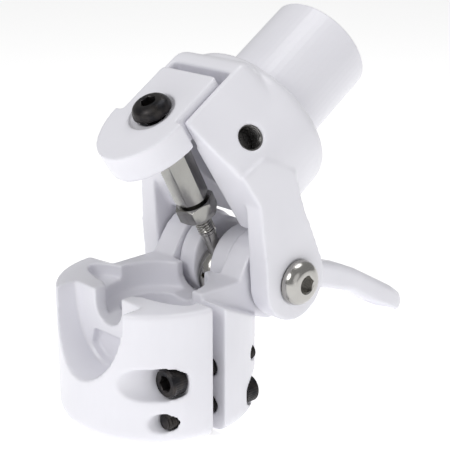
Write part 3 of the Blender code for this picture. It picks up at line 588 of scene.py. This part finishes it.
def rod_end():
    """Rod-end housing: crowned eye, waisted neck, rolled thread and oil hole."""
    eye = lathe(eye_profile(), closed_loop=True)
    obj = add_object("rod_end_detail", eye, frame_at(CRANK, (1, 0, 0)))
    waist, shoulder, lap = THREAD_LEAD
    neck = list(NECK_ROOT) + [(NECK_RADIUS, THREAD_START - waist),
                              (ROD_RADIUS, THREAD_START - shoulder),
                              (ROD_RADIUS, THREAD_START + lap)]
    along = frame_at(CRANK, LINK_ALONG)
    boolean(obj, lathe(neck, SIDES_BORE), "UNION", along)
    boolean(obj, threaded(ROD_RADIUS, ROD_PITCH, THREAD_START, THREAD_END), "UNION", along)
    outward = (0.0, -math.cos(OIL_HOLE_ANGLE), math.sin(OIL_HOLE_ANGLE))
    sink = EYE_RADIUS - OIL_SINK_DEPTH
    hole = [(OIL_HOLE, EYE_BORE - OVERCUT), (OIL_HOLE, sink), (OIL_HOLE + OVERCUT, sink + OVERCUT)]
    boolean(obj, lathe(hole, SIDES_HOLE), "DIFFERENCE", frame_at(CRANK, outward))
    finish_piece(obj, ["rod_end_housing"], "link", MATERIALS["rod"], ROD_SHARP)


def hex_sleeve(node, flats, bore, start, end, spin):
    """Chamfered hexagon with a countersunk way through it."""
    obj = add_object(node + "_detail", hex_prism(flats, start, end))
    face = flats * HEX_FACE_SHARE
    reach = corner_reach(flats) + HEX_CORNER_ROOM
    hair = OVERCUT / 100
    cone = [(face, start - hair), (reach, start + HEX_CHAMFER), (reach, end - HEX_CHAMFER),
            (face, end + hair)]
    boolean(obj, lathe(cone), "INTERSECT")
    boolean(obj, lathe([(bore, start - OVERCUT), (bore, end + OVERCUT)], SIDES_BORE), "DIFFERENCE")
    for place, outward in ((start, -1), (end, 1)):
        sink = [(bore + BORE_SINK, place + outward * BORE_SINK_ROOM),
                (bore - BORE_SINK_ROOM, place - outward * BORE_SINK)]
        boolean(obj, lathe(sink, SIDES_BORE), "DIFFERENCE")
    soften_hex(obj)
    obj.data.transform(frame_at(CRANK, LINK_ALONG, spin))
    finish_piece(obj, [node], "link", MATERIALS["hex"], HEX_SHARP)


def tapped_thread():
    """Bare cut thread and drill floor inside the small hole in the collar."""
    rings = [circle(TAPPED_CENTRE, TAPPED_FLOOR, THREAD_SIDES)]
    for row in range(TAPPED_ROWS + 1):
        height = TAPPED_FLOOR + (TAPPED_MOUTH - TAPPED_FLOOR) * row / TAPPED_ROWS
        reaches = [TAPPED_CREST + TAPPED_CUT * groove for groove in grooves(height, TAPPED_PITCH)]
        rings.append(ring_of(reaches, height))
    rings += [circle(TAPPED_OUTER, TAPPED_MOUTH, THREAD_SIDES),
              circle(TAPPED_OUTER, TAPPED_BACK, THREAD_SIDES),
              circle(TAPPED_CENTRE, TAPPED_BACK, THREAD_SIDES)]
    outward = Vector((math.cos(TAPPED_ANGLE), -math.sin(TAPPED_ANGLE), 0.0))
    start = HINGE + HEAD_TURN @ Vector((0.0, -HINGE.y, TAPPED_HEIGHT))
    place = frame_at(start, HEAD_TURN.to_3x3() @ outward)
    obj = add_object("tapped_thread", rings_mesh(rings, closed_loop=True), place)
    finish_piece(obj, [], "head", MATERIALS["cut"], TAPPED_SHARP)


def recolour(node, mat):
    """Give a CAD solid that stays in view its own material."""
    obj = frame["nodes"][node]
    if not obj.data.materials:
        obj.data.materials.append(mat)
    for slot in obj.material_slots:
        slot.material = mat


# ---------------------------------------------------------------- the set

def aimed(name, data, place, direction):
    """Add a light or camera that looks along a direction."""
    obj = bpy.data.objects.new(name, data)
    obj.location = place
    obj.rotation_euler = direction.to_track_quat("-Z", "Y").to_euler()
    bpy.context.scene.collection.objects.link(obj)
    return obj


def area_light(name, place, size, power):
    light = bpy.data.lights.new(name, "AREA")
    light.shape = "DISK"
    light.size = size
    light.energy = power
    aimed(name, light, place, LIGHT_TARGET - Vector(place))


def make_floor():
    bm = bmesh.new()
    bmesh.ops.create_grid(bm, x_segments=2, y_segments=2, size=FLOOR_HALF)
    floor = add_object("floor", bm, Matrix.Translation((0.0, 0.0, CAD_BOX[0][2] - FLOOR_DROP)))
    matte = Paint("floor_matte", FLOOR_TONE, metallic=0.0, roughness=0.85)
    matte.roughness(matte.ranged(matte.noise(3.0), low=0.8, high=0.9))
    matte.shader.inputs["Emission Color"].default_value = WHITE
    matte.shader.inputs["Emission Strength"].default_value = FLOOR_GLOW
    floor.data.materials.append(matte.mat)


def make_world():
    world = bpy.data.worlds.new("studio")
    world.use_nodes = True
    background = world.node_tree.nodes["Background"]
    background.inputs["Color"].default_value = WHITE
    background.inputs["Strength"].default_value = WORLD_STRENGTH
    bpy.context.scene.world = world


def make_camera():
    camera = bpy.data.cameras.new("camera")
    camera.lens = CAMERA_LENS
    camera.sensor_width = CAMERA_SENSOR
    camera.clip_start = CAMERA_CLIP
    bpy.context.scene.camera = aimed("camera", camera, CAMERA_PLACE, CAMERA_LOOK)


def main():
    bpy.context.scene.view_settings.view_transform = "Standard"
    make_camera()
    make_world()
    make_floor()
    for name, place, size, power in LIGHTS:
        area_light(name, place, size, power)

    for node, body, steps, follows_head in CASTINGS:
        cast_piece(node, body, steps, HEAD_TURN if follows_head else Matrix.Identity(4))
    recolour("stem_tube", MATERIALS["tube_paint"])
    pivot_bolt("pivot_bolt_near", 1)
    pivot_bolt("pivot_bolt_far", -1)
    latch_screw()
    for node, side, height in SCREWS:
        clamp_screw(node, side, height)
    rod_end()
    hex_sleeve("lock_nut", NUT_FLATS, NUT_BORE, NUT_START, NUT_START + NUT_HEIGHT, NUT_SPIN)
    hex_sleeve("hex_coupling", COUPLING_FLATS, COUPLING_BORE, COUPLING_START, COUPLING_END, 0.0)
    tapped_thread()
    recolour("rod_end_ball", MATERIALS["bolt"])
    recolour("crank_pin", MATERIALS["bolt"])
    recolour("rod_end_liner", MATERIALS["bronze"])
    recolour("pivot_bush_near", MATERIALS["polymer"])
    recolour("pivot_bush_far", MATERIALS["polymer"])


main()
